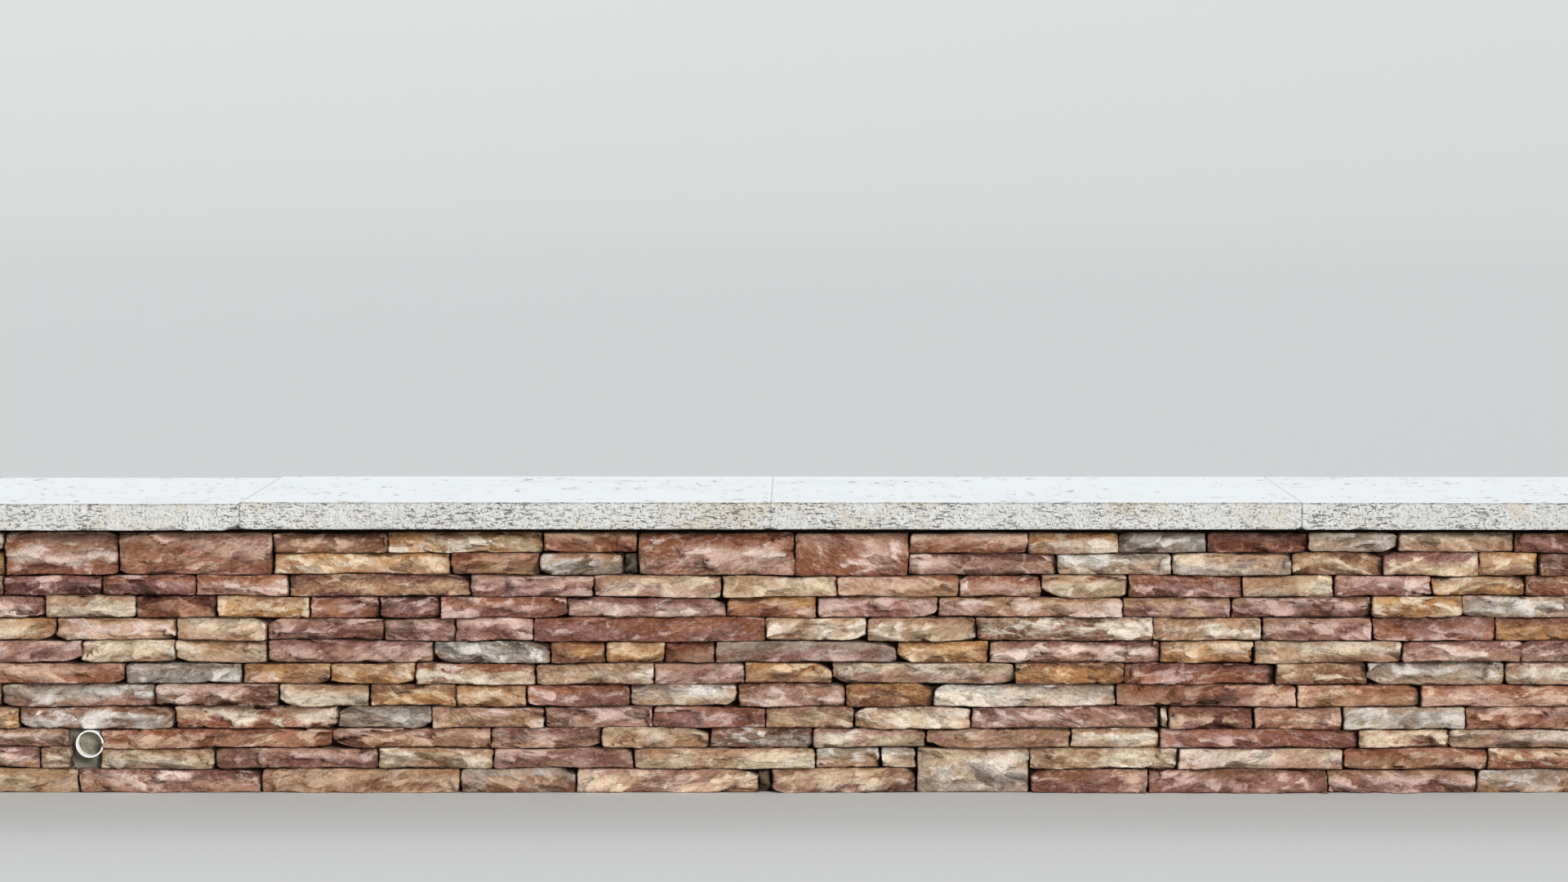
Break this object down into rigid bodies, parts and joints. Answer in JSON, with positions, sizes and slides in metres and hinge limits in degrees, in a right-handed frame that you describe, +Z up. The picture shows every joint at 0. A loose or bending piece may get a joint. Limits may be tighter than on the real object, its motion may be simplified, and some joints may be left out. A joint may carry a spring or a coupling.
{
  "type": "ledgestone garden wall",
  "caption": "Low garden wall with stacked ledgestone faces, a pale pitted slab coping and weep pipes through its foot, in bays.",
  "frame": {"origin": "on the ground under the middle of the wall", "axes": "+X along the wall, to the right seen from the front; the front faces -Y; +Z up"},
  "size_m": [5.4834, 0.61, 0.509],
  "materials": {
    "coping": "rough, pitted",
    "ledgestone": "split, rough",
    "block": "rough",
    "mortar": "rough",
    "pipe": "satin"
  },
  "bodies": {
    "root": {"coping_slab_1": "coping", "coping_slab_2": "coping", "coping_slab_3": "coping", "coping_slab_4": "coping", "coping_slab_5": "coping", "coping_slab_6": "coping", "front_course_01": "ledgestone", "front_course_02": "ledgestone", "front_course_03": "ledgestone", "front_course_04": "ledgestone", "front_course_05": "ledgestone", "front_course_06": "ledgestone", "front_course_07": "ledgestone", "front_course_08": "ledgestone", "front_course_09": "ledgestone", "front_course_10": "ledgestone", "front_course_11": "ledgestone", "front_course_12": "ledgestone", "back_course_01": "ledgestone", "back_course_02": "ledgestone", "back_course_03": "ledgestone", "back_course_04": "ledgestone", "back_course_05": "ledgestone", "back_course_06": "ledgestone", "back_course_07": "ledgestone", "back_course_08": "ledgestone", "back_course_09": "ledgestone", "back_course_10": "ledgestone", "back_course_11": "ledgestone", "back_course_12": "ledgestone", "left_end_facing": "ledgestone", "right_end_facing": "ledgestone", "left_core": "block", "middle_core": "block", "right_core": "block", "left_weep_pipe": "pipe", "right_weep_pipe": "pipe", "coping_bed": "mortar", "left_pipe_collars": "mortar", "right_pipe_collars": "mortar"}
  },
  "joints": []
}
